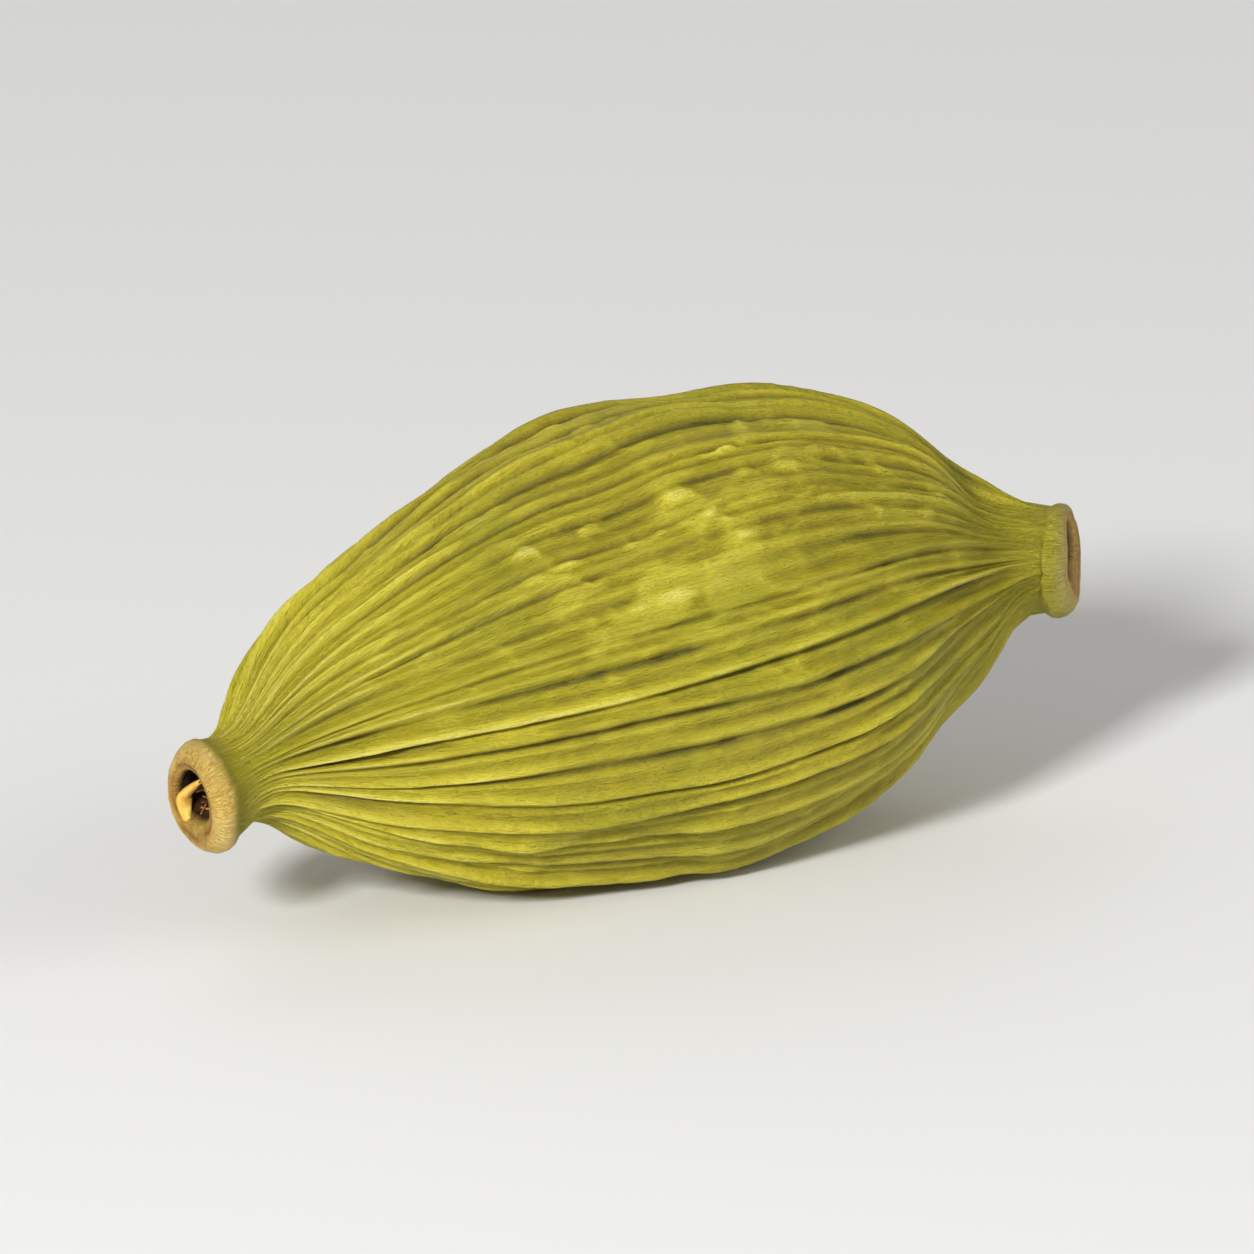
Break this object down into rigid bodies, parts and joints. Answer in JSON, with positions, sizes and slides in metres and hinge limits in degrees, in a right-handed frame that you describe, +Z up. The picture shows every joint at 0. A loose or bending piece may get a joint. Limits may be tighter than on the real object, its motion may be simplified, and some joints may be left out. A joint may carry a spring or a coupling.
{
  "type": "green cardamom pod",
  "caption": "Dried green cardamom pod, plump and ribbed from neck to neck, with a woody ring round a small hollow at each end.",
  "frame": {"origin": "on the surface, below the middle of the pod's outline", "axes": "+X along the pod from its stalk end to its flower end, +Z up"},
  "size_m": [0.0152, 0.0072, 0.0069],
  "materials": {
    "husk": "dry, fibrous husk with a slight sheen"
  },
  "bodies": {
    "root": {"pod": "husk"}
  },
  "joints": []
}
